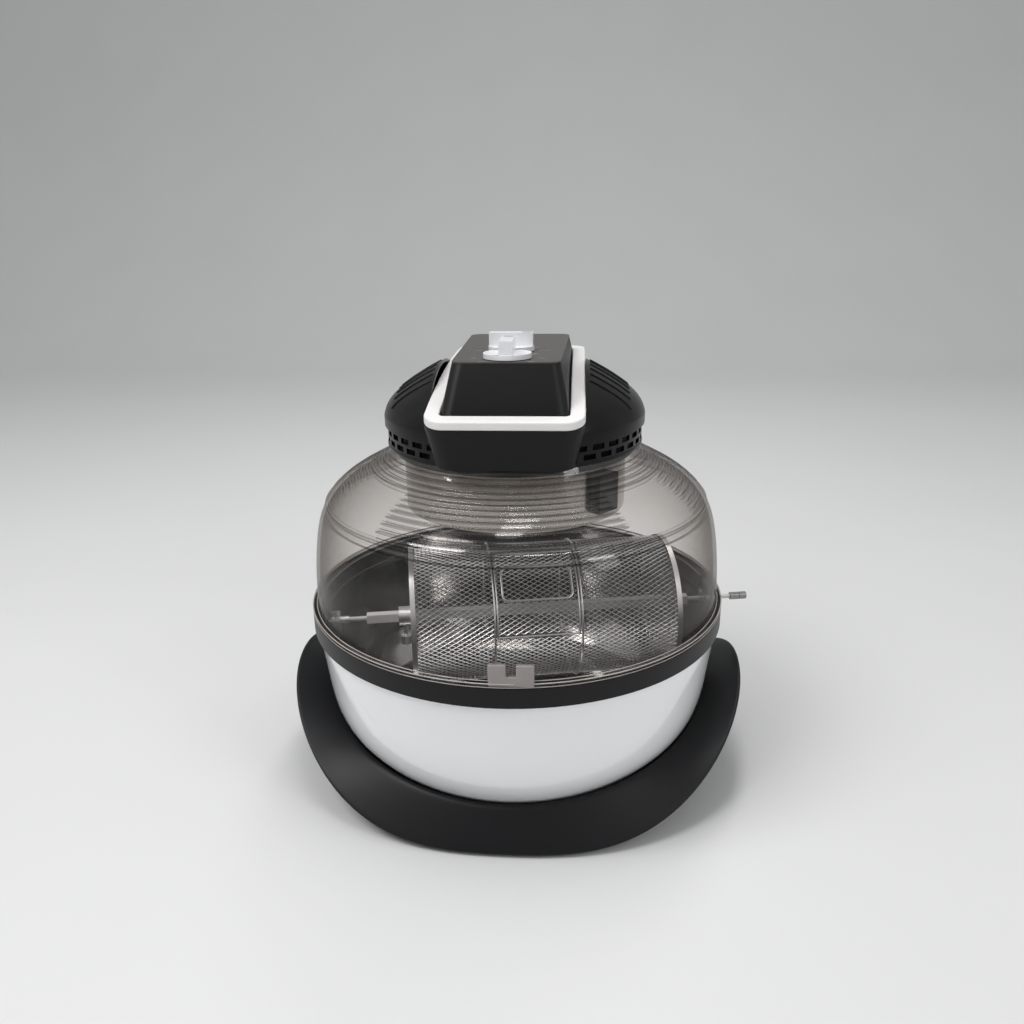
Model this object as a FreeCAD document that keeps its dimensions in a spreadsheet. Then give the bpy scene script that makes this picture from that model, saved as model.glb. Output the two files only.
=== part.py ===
"""Rotisserie oven: a white bowl in a black stand, a clear dome, a heater head and a turning basket.

Millimetres, +Z up. The origin is the middle of the plane that the stand rests on, -Y is the front
and the carrying ears of the stand point along X. The bowl, the spit and the basket are set down
turned by bowl_turn about the upright axis, as the round bowl can stand at any angle.
"""
import FreeCAD, Part
import Sketcher
import math
import os

Vector = FreeCAD.Vector
Rotation = FreeCAD.Rotation
Placement = FreeCAD.Placement
UP = Vector(0, 0, 1)
TURN_FROM_Z = {"z": Rotation(), "x": Rotation(Vector(0, 1, 0), 90), "y": Rotation(Vector(1, 0, 0), -90)}

SIZES = {
    # stand
    "seat_height": 9, "seat_inner_radius": 100, "stand_wall": 3.5, "stand_clearance": 1.6,
    "lip_height": 34, "lip_width": 8, "lip_rise": 24, "ridge_rise": 9,
    "edge_reach": 206, "edge_depth": 178, "edge_power": 2.35, "ear_height": 96,
    "foot_radius": 110, "foot_width": 10,
    # bowl, pan and rim
    "bowl_turn": 11, "bowl_wall": 3, "bowl_floor_radius": 112, "bowl_low_radius": 157,
    "bowl_low_height": 38, "bowl_mid_radius": 173, "bowl_mid_height": 63, "bowl_high_radius": 181,
    "bowl_high_height": 100, "bowl_top_radius": 187, "bowl_top_height": 146,
    "rim_radius": 190, "rim_low": 145, "rim_top": 162, "pan_wall": 1,
    "pan_gap": 1.5, "pan_floor": 34, "pan_flange": 3,
    # dome
    "dome_wall": 3, "flange_radius": 190, "flange_height": 4, "dome_radius": 185,
    "waist_radius": 181, "waist_height": 227, "hip_radius": 172, "hip_height": 256,
    "shoulder_radius": 155, "shoulder_height": 274, "slope_radius": 133, "slope_height": 287,
    "neck_radius": 112, "neck_low": 303, "neck_top": 308,
    "catch_width": 35, "catch_place": 9, "catch_height": 18, "catch_depth": 5, "catch_slot": 7.4, "catch_slot_depth": 10,
    # spit and basket
    "axis_height": 139, "drum_left": -100, "drum_right": 143, "drum_radius": 64, "drum_wall": 1.2,
    "disc_wall": 1, "disc_rim": 3.5, "hub_radius": 9, "hub_length": 12, "bar_size": 8, "bar_left": -143,
    "bar_right": 168, "disc_gap": 0.1,
    "rod_radius": 2, "tip_reach": 177, "tip_radius": 2.75, "rod_reach": 212, "coupling_radius": 3.6,
    "coupling_length": 16, "bush_radius": 3.2, "bush_length": 8.4, "bush_place": -168,
    "thumb_radius": 5, "thumb_head": 8, "thumb_stem": 2, "thumb_reach": 20, "bearing_wall": 3,
    "bearing_half_width": 12, "bearing_cheek": 4, "bearing_below": 14, "bearing_above": 4,
    "bracket_reach": 197, "bracket_half_width": 14, "bracket_low": 112, "bracket_bush": 6,
    "running_gap": 0.08, "hoop_radius": 0.9, "hoop_left": -27, "hoop_right": 52, "door_low_angle": 2,
    "door_high_angle": 78, "door_gap": 1.2, "hinge_rod_radius": 1, "knuckle_wall": 1.1,
    "knuckle_length": 9, "loop_wire": 1.1, "loop_width": 63, "loop_height": 32, "loop_corner": 6,
    # head
    "plate_radius": 113, "plate_height": 2, "head_gap": 0.2, "vent_radius": 112.5, "vent_wall": 2.5,
    "vent_top": 326, "vent_slot_width": 12, "vent_slot_height": 4.6, "vent_pitch_angle": 9,
    "cap_radius": 115, "cap_wall": 2.5, "cap_skirt": 334, "cap_bend_radius": 99, "cap_bend_height": 356,
    "cap_mid_radius": 62, "cap_mid_height": 378, "cap_top": 386,
    "pod_front": -122, "pod_back": 118, "pod_half_width": 62.3, "pod_low_half_width": 54.6,
    "pod_low_inset": 3, "pod_corner": 16, "pod_wall": 2.5, "nose_top": 342,
    "frame_band": 11.8, "frame_height": 7, "arch_rear": 375, "arch_drop": 26, "arch_power": 2.2,
    "box_front": -110, "panel_front": -90.7, "panel_back": 90, "panel_top": 389.5,
    "panel_half_width": 42.3, "panel_rear_half_width": 47.2, "panel_corner": 10,
    "seam_gap": 0.3, "panel_wall": 1.4, "box_wall": 2.2, "box_low": 349,
    "timer_place": -70, "thermostat_place": -27, "knob_radius": 19.3, "knob_disc": 4, "knob_rise": 0.5,
    "knob_grip_width": 10.6, "knob_grip_height": 11, "pointer_length": 8, "pointer_sink": 0.6,
    "pointer_proud": 0.2, "knob_shaft_radius": 3, "knob_shaft_length": 12, "switch_body": 38,
    "switch_height": 22, "shroud_radius": 99, "shroud_wall": 1, "shroud_low": 252,
    "bayonet_radius": 106, "bayonet_wall": 2.2, "bayonet_drop": 7, "heater_ring": 76,
    "heater_tube": 5, "heater_height": 272, "clip_width": 7, "clip_wall": 1, "fan_radius": 58,
    "fan_height": 288, "fan_blade": 9, "fan_shaft_radius": 3, "fan_hub": 11, "motor_radius": 28,
    "motor_low": 318, "motor_height": 30, "cool_fan_radius": 42, "cool_fan_height": 352,
    "reflector_radius": 94, "reflector_inner": 66, "guard_wire": 1, "gland_radius": 8,
    "gland_length": 14, "gland_bore": 3.6, "gland_height": 328,
    "window_width": 10, "window_height": 20, "window_rise": 26, "sensor_width": 24, "sensor_height": 32,
    "sensor_depth": 9, "sensor_low": 262, "guard_spacing": 16, "guard_hub": 24,
    "post_radius": 3, "post_circle": 20, "terminal_width": 30, "terminal_size": 12, "terminal_place": 70,
    "cutout_radius": 8, "cutout_height": 7, "cutout_x": 28, "cutout_y": 60, "screw_radius": 3.2,
    "screw_height": 2, "screw_circle": 92,
}
EAR_SHARPNESS = 4      # how fast the ears rise towards the sides, as a power of the cosine
STAND_SECTIONS = 48
STAND_RISES = (0.1, 0.28, 0.6, 1)   # heights of the skin's corners beside the bowl, as shares of the lip
PRIMITIVES = ("Part::Cylinder", "Part::Box", "Part::Torus", "Part::Feature")
CURVE_STEPS = 40
VENT_ROWS = (0.27, 0.73)
FAN_BLADES = 6
NOTCH_GAP = 1.5         # clearance round the spit and its bushes in the rim's notches
HINGE_LEAD = 2          # degrees from the door's upper edge to its hinge line
SHELL_LEAD = 6          # degrees from the door's upper edge to the shell's edge
LOOP_ANGLE = 45         # degrees above the front, where the middle of the loop lies on the door
WINDOWS = 18            # places for windows round the heater shroud; only the rear half is open
SENSOR_AZIMUTH = -40    # degrees from +X to the sensor housing on the shroud
GUARD_RINGS = 5
GUARD_SPOKES = 8
HEATER_CLIPS = 3
MOTOR_POSTS = 3
HEAD_SCREWS = 4

doc = FreeCAD.newDocument("RotisserieOven")
sheet = doc.addObject("Spreadsheet::Sheet", "Sizes")
for row, (alias, number) in enumerate(SIZES.items(), 1):
    sheet.set(f"A{row}", alias)
    sheet.set(f"B{row}", str(number))
    sheet.setAlias(f"B{row}", alias)
doc.recompute()


class Size:
    """A length from the sheet: the text of its expression, with the number that it gives now."""

    def __init__(self, text, number):
        self.text = text
        self.number = number

    def joined(self, other, sign, number):
        return Size(f"({self.text} {sign} {of(other).text})", number)

    def __add__(self, other):
        return self.joined(other, "+", self.number + of(other).number)

    def __sub__(self, other):
        return self.joined(other, "-", self.number - of(other).number)

    def __mul__(self, other):
        return self.joined(other, "*", self.number * of(other).number)

    def __truediv__(self, other):
        return self.joined(other, "/", self.number / of(other).number)

    def __radd__(self, other):
        return of(other) + self

    def __rsub__(self, other):
        return of(other) - self

    def __rmul__(self, other):
        return of(other) * self

    def __neg__(self):
        return of(0) - self


def of(value):
    return value if isinstance(value, Size) else Size(f"{value:.6f}", float(value))


class Sheet:
    """Reads a size by its name: S.rim_radius."""

    def __getattr__(self, name):
        return Size(f"Sizes.{name}", float(getattr(sheet, name)))


S = Sheet()
pieces = {}


def bind(thing, **sizes):
    for name, size in sizes.items():
        thing.setExpression(name, of(size).text)
    return thing


def move(thing, x=0, y=0, z=0, turn=Rotation()):
    """Places an object, with its three coordinates bound to the sheet."""
    thing.Placement = Placement(Vector(of(x).number, of(y).number, of(z).number), turn)
    for name, size in (("x", x), ("y", y), ("z", z)):
        thing.setExpression(f".Placement.Base.{name}", of(size).text)
    return thing


def cylinder(radius, height, x=0, y=0, z=0, axis="z"):
    solid = bind(doc.addObject("Part::Cylinder", "Cylinder"), Radius=radius, Height=height)
    return move(solid, x, y, z, TURN_FROM_Z[axis])


def ball(radius, x=0, y=0, z=0):
    return move(bind(doc.addObject("Part::Sphere", "Ball"), Radius=radius), x, y, z)


def ring(radius, wire, x=0, y=0, z=0, axis="z"):
    solid = bind(doc.addObject("Part::Torus", "Ring"), Radius1=radius, Radius2=wire)
    return move(solid, x, y, z, TURN_FROM_Z[axis])


def block(width, depth, height, x=0, y=0, z=0):
    """A box, centred on x and y, standing on z."""
    solid = bind(doc.addObject("Part::Box", "Block"), Length=width, Width=depth, Height=height)
    return move(solid, of(x) - of(width) / 2, of(y) - of(depth) / 2, z)


def fuse(*solids):
    joined = doc.addObject("Part::MultiFuse", "Fuse")
    joined.Shapes = list(solids)
    return joined


def cut(base, *tools):
    result = doc.addObject("Part::Cut", "Cut")
    result.Base = base
    result.Tool = tools[0] if len(tools) == 1 else fuse(*tools)
    return result


def common(first, second):
    result = doc.addObject("Part::Common", "Common")
    result.Base = first
    result.Tool = second
    return result


def group(*solids):
    """Separate solids that are one sub-part, such as a set of screws."""
    result = doc.addObject("Part::Compound", "Group")
    result.Links = list(solids)
    return result


def made(shape):
    feature = doc.addObject("Part::Feature", "Made")
    feature.Shape = shape
    return feature


def turned(outline, x=0, y=0):
    """A PartDesign body: a closed outline of (radius, height) corners, revolved about its own Z axis."""
    body = doc.addObject("PartDesign::Body", "Turned")
    sketch = body.newObject("Sketcher::SketchObject", "Outline")
    plane = next(f for f in body.Origin.OriginFeatures if f.Role == "XZ_Plane")
    sketch.AttachmentSupport = (plane, "")
    sketch.MapMode = "FlatFace"
    corners = [(of(r), of(h)) for r, h in outline]
    for here, there in zip(corners, corners[1:] + corners[:1]):
        ends = [Vector(r.number, h.number, 0) for r, h in (here, there)]
        sketch.addGeometry(Part.LineSegment(*ends), False)
    for i, (r, h) in enumerate(corners):
        sketch.addConstraint(Sketcher.Constraint("Coincident", i, 2, (i + 1) % len(corners), 1))
        for kind, size in (("DistanceX", r), ("DistanceY", h)):
            number = sketch.addConstraint(Sketcher.Constraint(kind, -1, 1, i, 1, size.number))
            sketch.setExpression(f"Constraints[{number}]", size.text)
    spin = body.newObject("PartDesign::Revolution", "Spin")
    spin.Profile = sketch
    spin.ReferenceAxis = (sketch, ["V_Axis"])
    spin.Angle = 360
    return move(body, x, y)


def washer(outer, inner, low, height, x=0, y=0):
    return cut(cylinder(outer, height, x, y, low), cylinder(inner, height + 2, x, y, low - 1))


def keep(label, thing):
    thing.Label = label
    pieces[label] = thing
    return thing


def keep_turned(label, thing):
    """A piece of the bowl or the spit, which stands turned by bowl_turn about the upright axis."""
    whole = group(thing) if thing.TypeId in PRIMITIVES else thing
    whole.Placement = Placement(Vector(), Rotation(UP, 1))
    whole.setExpression(".Placement.Rotation.Angle", "Sizes.bowl_turn")
    return keep(label, whole)


# ---------------------------------------------------------------- curved shells

def side_curve(points, start, end, inset=0):
    """Points along a smooth curve through (radius, height) points, moved in by an inset."""
    curve = Part.BSplineCurve()
    through = [Vector(of(r).number, 0, of(z).number) for r, z in points]
    curve.interpolate(Points=through, InitialTangent=Vector(*start), FinalTangent=Vector(*end))
    moved = []
    for i in range(CURVE_STEPS + 1):
        at = curve.FirstParameter + (curve.LastParameter - curve.FirstParameter) * i / CURVE_STEPS
        tangent = curve.tangent(at)[0]
        moved.append(curve.value(at) + Vector(-tangent.z, 0, tangent.x) * inset)
    return moved


def smooth(points):
    curve = Part.BSplineCurve()
    curve.approximate(points, Tolerance=0.01)
    return curve.toShape()


def lines(points):
    kept = [p for i, p in enumerate(points) if not i or (p - points[i - 1]).Length > 0.001]
    return [Part.makeLine(p, q) for p, q in zip(kept, kept[1:])]


def spun(edges):
    wire = Part.Wire(Part.__sortEdges__(edges))
    return Part.Face(wire).revolve(Vector(), UP, 360)


def curved_wall(points, start, end, wall):
    """A wall that follows a smooth curve, open at both ends."""
    outer = side_curve(points, start, end)
    inner = side_curve(points, start, end, wall)
    return spun([smooth(outer), smooth(inner[::-1])] + lines([outer[-1], inner[-1]]) + lines([inner[0], outer[0]]))


# The outline of the bowl's side, from its floor to its brim, which the stand and the pan follow.
BOWL_POINTS = [(S.bowl_floor_radius, S.seat_height), (S.bowl_low_radius, S.bowl_low_height),
               (S.bowl_mid_radius, S.bowl_mid_height), (S.bowl_high_radius, S.bowl_high_height),
               (S.bowl_top_radius, S.bowl_top_height)]
BOWL_START = (1, 0, 0.12)
BOWL_END = (0.14, 0, 1)


# ---------------------------------------------------------------- stand

def beside_bowl(height):
    """The radius at which the stand's skin stands clear of the bowl, at a height."""
    side = side_curve(BOWL_POINTS, BOWL_START, BOWL_END, -S.stand_clearance.number)
    above = next(i for i, p in enumerate(side) if p.z > height)
    low, high = side[above - 1], side[above]
    return low.x + (high.x - low.x) * (height - low.z) / (high.z - low.z)


def stand_section(angle):
    """The stand's closed section in the upright plane at an angle from +X, as points."""
    side = abs(math.cos(angle))
    front = abs(math.sin(angle))
    power = S.edge_power.number
    reach = ((side / S.edge_reach.number) ** power + (front / S.edge_depth.number) ** power) ** (-1 / power)
    wall = S.stand_wall.number
    seat = S.seat_height.number
    lip = S.lip_height.number + S.lip_rise.number * side ** 2
    ridge_out = S.lip_width.number * (1 - 0.3 * side ** 2)
    ridge_up = S.ridge_rise.number * side ** 2
    edge = S.ear_height.number * side ** EAR_SHARPNESS
    top = [(S.seat_inner_radius.number, seat), (beside_bowl(seat), seat)]
    for share in STAND_RISES:
        height = seat + (lip - seat) * share
        top.append((beside_bowl(height), height))
    top += [(top[-1][0] + ridge_out, lip + ridge_up), (reach, edge + wall * 0.8)]
    under = offset_below(top, wall)
    under[-1] = (under[-1][0], max(under[-1][1], 0.3))
    return [Vector(r * math.cos(angle), r * math.sin(angle), h) for r, h in top + under[::-1]]


def offset_below(points, distance):
    """A polyline moved to its right by a distance, with mitred corners."""
    moved = []
    for i, (r, h) in enumerate(points):
        before = points[max(i - 1, 0)]
        after = points[min(i + 1, len(points) - 1)]
        normals = []
        for (r0, h0), (r1, h1) in ((before, (r, h)), ((r, h), after)):
            length = math.hypot(r1 - r0, h1 - h0)
            if length:
                normals.append(((h1 - h0) / length, -(r1 - r0) / length))
        nr = sum(n[0] for n in normals)
        nh = sum(n[1] for n in normals)
        size = math.hypot(nr, nh)
        nr, nh = nr / size, nh / size
        miter = distance / (nr * normals[0][0] + nh * normals[0][1])
        moved.append((r + nr * miter, h + nh * miter))
    return moved


def stand():
    sections = []
    for i in range(STAND_SECTIONS):
        points = stand_section(2 * math.pi * i / STAND_SECTIONS)
        sections.append(points)
    faces = []
    count = len(sections[0])
    for k in range(count):
        rows = [s[k] for s in sections] + [sections[0][k]]
        nexts = [s[(k + 1) % count] for s in sections] + [sections[0][(k + 1) % count]]
        faces.append(Part.makeRuledSurface(closed_curve(rows), closed_curve(nexts)))
    solid = Part.Solid(Part.Shell([f for s in faces for f in s.Faces]))
    return solid


def closed_curve(points):
    curve = Part.BSplineCurve()
    curve.interpolate(points[:-1], PeriodicFlag=True)
    return curve.toShape()


keep("stand", made(stand()))


keep("foot_ring", turned([
    (S.foot_radius - S.foot_width / 2 + 1, 0), (S.foot_radius + S.foot_width / 2 - 1, 0),
    (S.foot_radius + S.foot_width / 2, S.seat_height - S.stand_wall),
    (S.foot_radius - S.foot_width / 2, S.seat_height - S.stand_wall)]))

# ---------------------------------------------------------------- bowl

def vessel(outer_inset, wall, floor, top):
    """A round vessel that follows the bowl's side: a flat floor and a curved wall up to a height."""
    def between(inset, low):
        side = side_curve(BOWL_POINTS, BOWL_START, BOWL_END, inset)
        return [p for p in side if low <= p.z <= top]
    outer = between(outer_inset, floor)
    inner = between(outer_inset + wall, floor + wall)
    outside = lines([Vector(0, 0, floor), Vector(outer[0].x, 0, floor), outer[0]])
    brim = lines([outer[-1], Vector(outer[-1].x, 0, top), Vector(inner[-1].x, 0, top), inner[-1]])
    inside = lines([inner[0], Vector(inner[0].x, 0, floor + wall), Vector(0, 0, floor + wall), Vector(0, 0, floor)])
    return spun(outside + [smooth(outer)] + brim + [smooth(inner[::-1])] + inside)


def spit_slot(low_gap, reach_from, reach_to):
    """The open notch that the spit drops into from above, at its right end."""
    radius = S.rod_radius + low_gap
    upright = block(reach_to - reach_from, radius * 2, S.rim_top - S.axis_height + 40,
                    (reach_from + reach_to) / 2, 0, S.axis_height)
    return fuse(upright, cylinder(radius, reach_to - reach_from, reach_from, 0, S.axis_height, "x"))


bowl = made(vessel(0, S.bowl_wall.number, S.seat_height.number, S.bowl_top_height.number))
keep_turned("outer_bowl", cut(bowl, spit_slot(NOTCH_GAP, S.bowl_mid_radius, S.rod_reach)))
pan_inset = S.bowl_wall + S.pan_gap
pan_top = S.rim_top - S.pan_wall - 1
pan = made(vessel(pan_inset.number, S.pan_wall.number, S.pan_floor.number, S.bowl_top_height.number))
pan_reach = S.bowl_top_radius - pan_inset
pan_lip = turned([
    (pan_reach - S.pan_wall, S.bowl_top_height), (pan_reach, S.bowl_top_height),
    (pan_reach, pan_top), (pan_reach + S.pan_flange, pan_top),
    (pan_reach + S.pan_flange, pan_top + S.pan_wall), (pan_reach - S.pan_wall, pan_top + S.pan_wall)])
keep_turned("inner_pan", cut(fuse(pan, pan_lip), spit_slot(NOTCH_GAP, S.bowl_mid_radius, S.rod_reach)))
collar_inner = pan_reach + 0.5
collar = turned([
    (S.bowl_top_radius, S.rim_low), (S.rim_radius, S.rim_low), (S.rim_radius, S.rim_top),
    (pan_reach + S.pan_flange + 0.4, S.rim_top), (pan_reach + S.pan_flange + 0.4, pan_top),
    (collar_inner, pan_top), (collar_inner, S.bowl_top_height), (S.bowl_top_radius, S.bowl_top_height)])
keep_turned("rim_collar", cut(collar, spit_slot(NOTCH_GAP, S.bowl_mid_radius, S.rod_reach)))

# ---------------------------------------------------------------- spit bearings

def bearing_notch(x, length):
    """A running notch round the spit's rod, open upwards."""
    radius = S.rod_radius + S.running_gap
    return fuse(block(length, radius * 2, S.bearing_above + 1, x + length / 2, 0, S.axis_height),
                cylinder(radius, length, x, 0, S.axis_height, "x"))


bush_end = S.bush_place - S.seam_gap
bearing_height = S.bearing_below + S.bearing_above
bearing = block(bush_end + S.tip_reach + 1, S.bearing_half_width * 2, bearing_height,
                (bush_end - S.tip_reach - 1) / 2, 0, S.axis_height - S.bearing_below)
pocket = block(S.tip_reach, (S.bearing_half_width - S.bearing_cheek) * 2, bearing_height + 2,
               bush_end - S.bearing_wall - S.tip_reach / 2, 0, S.axis_height - S.bearing_below - 1)
keep_turned("spit_bearing_left", cut(
    bearing, pocket, bearing_notch(bush_end - S.bearing_wall - 1, S.bearing_wall + 2), pan))

bracket_height = S.rim_low - S.bracket_low
bracket_start = S.bowl_high_radius - S.bowl_wall
bracket_block = block(S.bracket_reach - bracket_start, S.bracket_half_width * 2, bracket_height,
                      (S.bracket_reach + bracket_start) / 2, 0, S.bracket_low)
bush_space = block(S.bracket_reach, S.bracket_bush * 2, bracket_height,
                   S.rim_radius - 1 + S.bracket_reach / 2, 0, S.axis_height - S.bracket_bush)
bowl_inside = made(vessel(0, S.bowl_wall.number * 4, S.seat_height.number, S.bowl_top_height.number))
keep_turned("motor_bracket", cut(
    bracket_block, bowl_inside, bush_space, spit_slot(NOTCH_GAP, S.bowl_mid_radius, S.rod_reach)))
right_bush = block(S.bracket_reach - S.rim_radius + 3, S.bracket_bush * 2, S.bracket_bush * 2 - 2,
                   (S.bracket_reach + S.rim_radius + 1) / 2, 0, S.axis_height - S.bracket_bush)
keep_turned("spit_bearing_right", cut(right_bush, bearing_notch(S.rim_radius - 2, S.rod_reach - S.rim_radius)))

# ---------------------------------------------------------------- spit and basket

axis_z = S.axis_height
tip = ball(S.tip_radius, S.tip_radius - S.tip_reach, 0, axis_z)
left_rod = cylinder(S.rod_radius, S.tip_reach - S.tip_radius + S.bar_left, S.tip_radius - S.tip_reach,
                    0, axis_z, "x")
right_rod = cylinder(S.rod_radius, S.rod_reach - S.bar_right + 1, S.bar_right - 1, 0, axis_z, "x")
bar = block(S.bar_right - S.bar_left, S.bar_size, S.bar_size, (S.bar_right + S.bar_left) / 2, 0,
            axis_z - S.bar_size / 2)
keep_turned("spit_rod", fuse(bar, left_rod, right_rod, tip))
coupling = cut(cylinder(S.coupling_radius, S.coupling_length, S.rod_reach, 0, axis_z, "x"),
               cylinder(S.rod_radius, 1.01, S.rod_reach, 0, axis_z, "x"))
groove = cut(cylinder(S.coupling_radius + 1, 1.2, S.rod_reach + S.coupling_length / 2, 0, axis_z, "x"),
             cylinder(S.coupling_radius - 0.6, 1.2, S.rod_reach + S.coupling_length / 2, 0, axis_z, "x"))
keep_turned("spit_coupling", cut(coupling, groove))
keep_turned("spit_bush", cut(
    cylinder(S.bush_radius, S.bush_length, S.bush_place, 0, axis_z, "x"),
    cylinder(S.rod_radius, S.bush_length + 2, S.bush_place - 1, 0, axis_z, "x")))


def end_disc(side):
    """A pressed end disc: a rim over the mesh and a hub that is clamped on the bar."""
    face = S.drum_left if side < 0 else S.drum_right
    rim_outer = S.drum_radius + S.disc_gap + S.disc_wall
    plate = cylinder(rim_outer, S.disc_wall, face - S.disc_wall if side < 0 else face, 0, axis_z, "x")
    rim_start = face if side < 0 else face - S.disc_rim
    rim = cut(cylinder(rim_outer, S.disc_rim, rim_start, 0, axis_z, "x"),
              cylinder(S.drum_radius + S.disc_gap, S.disc_rim, rim_start, 0, axis_z, "x"))
    hub_start = face - S.disc_wall - S.hub_length if side < 0 else face + S.disc_wall
    hub = cylinder(S.hub_radius, S.hub_length, hub_start, 0, axis_z, "x")
    bar_hole = block(S.hub_length * 3, S.bar_size, S.bar_size, face, 0, axis_z - S.bar_size / 2)
    screw_x = hub_start + S.hub_length / 2
    screw_hole = cylinder(S.thumb_stem, S.thumb_reach, screw_x, 0, axis_z - S.thumb_reach)
    return cut(fuse(plate, rim, hub), bar_hole, screw_hole), screw_x


thumb_screws = []
for side, name in ((-1, "left"), (1, "right")):
    disc, screw_x = end_disc(side)
    keep_turned(f"end_disc_{name}", disc)
    stem = cylinder(S.thumb_stem, S.thumb_reach - S.bar_size / 2, screw_x, 0, axis_z - S.thumb_reach)
    head = cylinder(S.thumb_radius, S.thumb_head, screw_x, 0, axis_z - S.thumb_reach - S.thumb_head)
    thumb_screws.append(fuse(stem, head))
keep_turned("thumb_screws", group(*thumb_screws))


def basket_tube(radius, low_x, length):
    return cylinder(radius, length, low_x, 0, axis_z, "x")


def sector(radius, low_x, length, low_angle, high_angle):
    """A wedge of a cylinder along the spit, between two angles measured upwards from the front."""
    wedge = basket_tube(radius, low_x, length)
    bind(wedge, Angle=high_angle - low_angle)
    turn = Rotation(Vector(1, 0, 0), 270 - of(high_angle).number)
    return move(wedge, low_x, 0, axis_z, turn.multiply(TURN_FROM_Z["x"]))


drum_length = S.drum_right - S.drum_left
inner_radius = S.drum_radius - S.drum_wall
tube = cut(basket_tube(S.drum_radius, S.drum_left, drum_length),
           basket_tube(inner_radius, S.drum_left - 1, drum_length + 2))
door_left = S.hoop_left + S.hoop_radius + S.door_gap
door_width = S.hoop_right - S.hoop_left - (S.hoop_radius + S.door_gap) * 2
doorway = sector(S.drum_radius + 5, S.hoop_left + S.hoop_radius, door_width + S.door_gap * 2,
                 S.door_low_angle - 1, S.door_high_angle + SHELL_LEAD)
keep_turned("basket_shell", cut(tube, doorway))
hoops = [ring(S.drum_radius + S.hoop_radius, S.hoop_radius, x, 0, axis_z, "x")
         for x in (S.hoop_left, S.hoop_right)]
keep_turned("basket_hoops", group(*hoops))

hinge_angle = math.radians(S.door_high_angle.number + HINGE_LEAD)
knuckle_radius = S.hinge_rod_radius + S.running_gap + S.knuckle_wall
hinge_radius = S.drum_radius + knuckle_radius + S.seam_gap
hinge_y = -hinge_radius * math.cos(hinge_angle)
hinge_z = axis_z + hinge_radius * math.sin(hinge_angle)
keep_turned("door_hinge_rod", cut(
    cylinder(S.hinge_rod_radius, S.hoop_right - S.hoop_left + S.hoop_radius * 2, S.hoop_left - S.hoop_radius,
             hinge_y, hinge_z, "x"), *hoops))

panel = cut(sector(S.drum_radius, door_left, door_width, S.door_low_angle, S.door_high_angle),
            basket_tube(inner_radius, S.drum_left, drum_length))
knuckles = []
for x in (door_left + S.knuckle_length, door_left + door_width - S.knuckle_length * 2):
    strap = cut(sector(hinge_radius, x, S.knuckle_length, S.door_high_angle - 5,
                       S.door_high_angle + HINGE_LEAD),
                basket_tube(S.drum_radius - S.knuckle_wall, x - 1, S.knuckle_length + 2))
    knuckles += [strap, cylinder(knuckle_radius, S.knuckle_length, x, hinge_y, hinge_z, "x")]
rod_space = cylinder(S.hinge_rod_radius + S.running_gap, drum_length, S.drum_left, hinge_y, hinge_z, "x")
keep_turned("basket_door", cut(fuse(panel, *knuckles), rod_space))



def rounded_path(width, depth, corner):
    """A closed rounded rectangle, centred, in the XY plane."""
    return rounded_polygon([(-width / 2, -depth / 2), (width / 2, -depth / 2),
                            (width / 2, depth / 2), (-width / 2, depth / 2)], corner)


def rounded_polygon(corners, radius, height=0):
    """A closed wire through corners, each rounded by an arc."""
    edges = []
    starts = []
    for i, (x, y) in enumerate(corners):
        here = Vector(x, y, height)
        before = Vector(*corners[i - 1], height) - here
        after = Vector(*corners[(i + 1) % len(corners)], height) - here
        half = before.getAngle(after) / 2
        back = radius / math.tan(half)
        before.normalize()
        after.normalize()
        middle = (before + after).normalize()
        inside = here + middle * (radius / math.sin(half))
        starts.append((here + before * back, inside - middle * radius, here + after * back))
    for i, (begin, bulge, end) in enumerate(starts):
        edges.append(Part.Arc(begin, bulge, end).toShape())
        edges.append(Part.makeLine(end, starts[(i + 1) % len(starts)][0]))
    return Part.Wire(edges)


def door_loop():
    """The wire loop on the door: a round wire bent to a rounded rectangle."""
    path = rounded_path(S.loop_width.number, S.loop_height.number, S.loop_corner.number)
    start = path.Edges[1]
    middle = start.valueAt((start.FirstParameter + start.LastParameter) / 2)
    along = start.tangentAt(start.FirstParameter)
    wire = Part.Wire(Part.makeCircle(S.loop_wire.number, middle, along))
    loop = path.makePipeShell([wire], True, False)
    angle = math.radians(LOOP_ANGLE)
    distance = S.drum_radius.number + S.loop_wire.number
    place = Vector((S.hoop_left.number + S.hoop_right.number) / 2, -distance * math.cos(angle),
                   S.axis_height.number + distance * math.sin(angle))
    loop.Placement = Placement(place, Rotation(Vector(1, 0, 0), 90 - LOOP_ANGLE))
    return loop


keep_turned("door_loop", cut(made(door_loop()), basket_tube(S.drum_radius, S.drum_left, drum_length)))

# ---------------------------------------------------------------- dome lid

flange_top = S.rim_top + S.flange_height
DOME_POINTS = [(S.dome_radius, flange_top), (S.waist_radius, S.waist_height), (S.hip_radius, S.hip_height),
               (S.shoulder_radius, S.shoulder_height), (S.slope_radius, S.slope_height),
               (S.neck_radius, S.neck_low)]
dome_wall = made(curved_wall(DOME_POINTS, (0, 0, 1), (-0.55, 0, 1), S.dome_wall.number))
flange = washer(S.flange_radius, S.dome_radius - S.dome_wall, S.rim_top, S.flange_height)
neck = turned([
    (S.neck_radius - S.dome_wall, S.neck_low - 2), (S.neck_radius, S.neck_low - 0.5),
    (S.neck_radius, S.neck_top),
    (S.neck_radius - S.dome_wall, S.neck_top)])
catch_y = (S.catch_depth / 2) - S.flange_radius + 0.5
catch = cut(block(S.catch_width, S.catch_depth, S.catch_height, S.catch_place, catch_y, S.rim_top + 1),
            block(S.catch_slot, S.catch_depth + 2, S.catch_slot_depth + 1, S.catch_place, catch_y,
                  S.rim_top + 1 + S.catch_height - S.catch_slot_depth))
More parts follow.
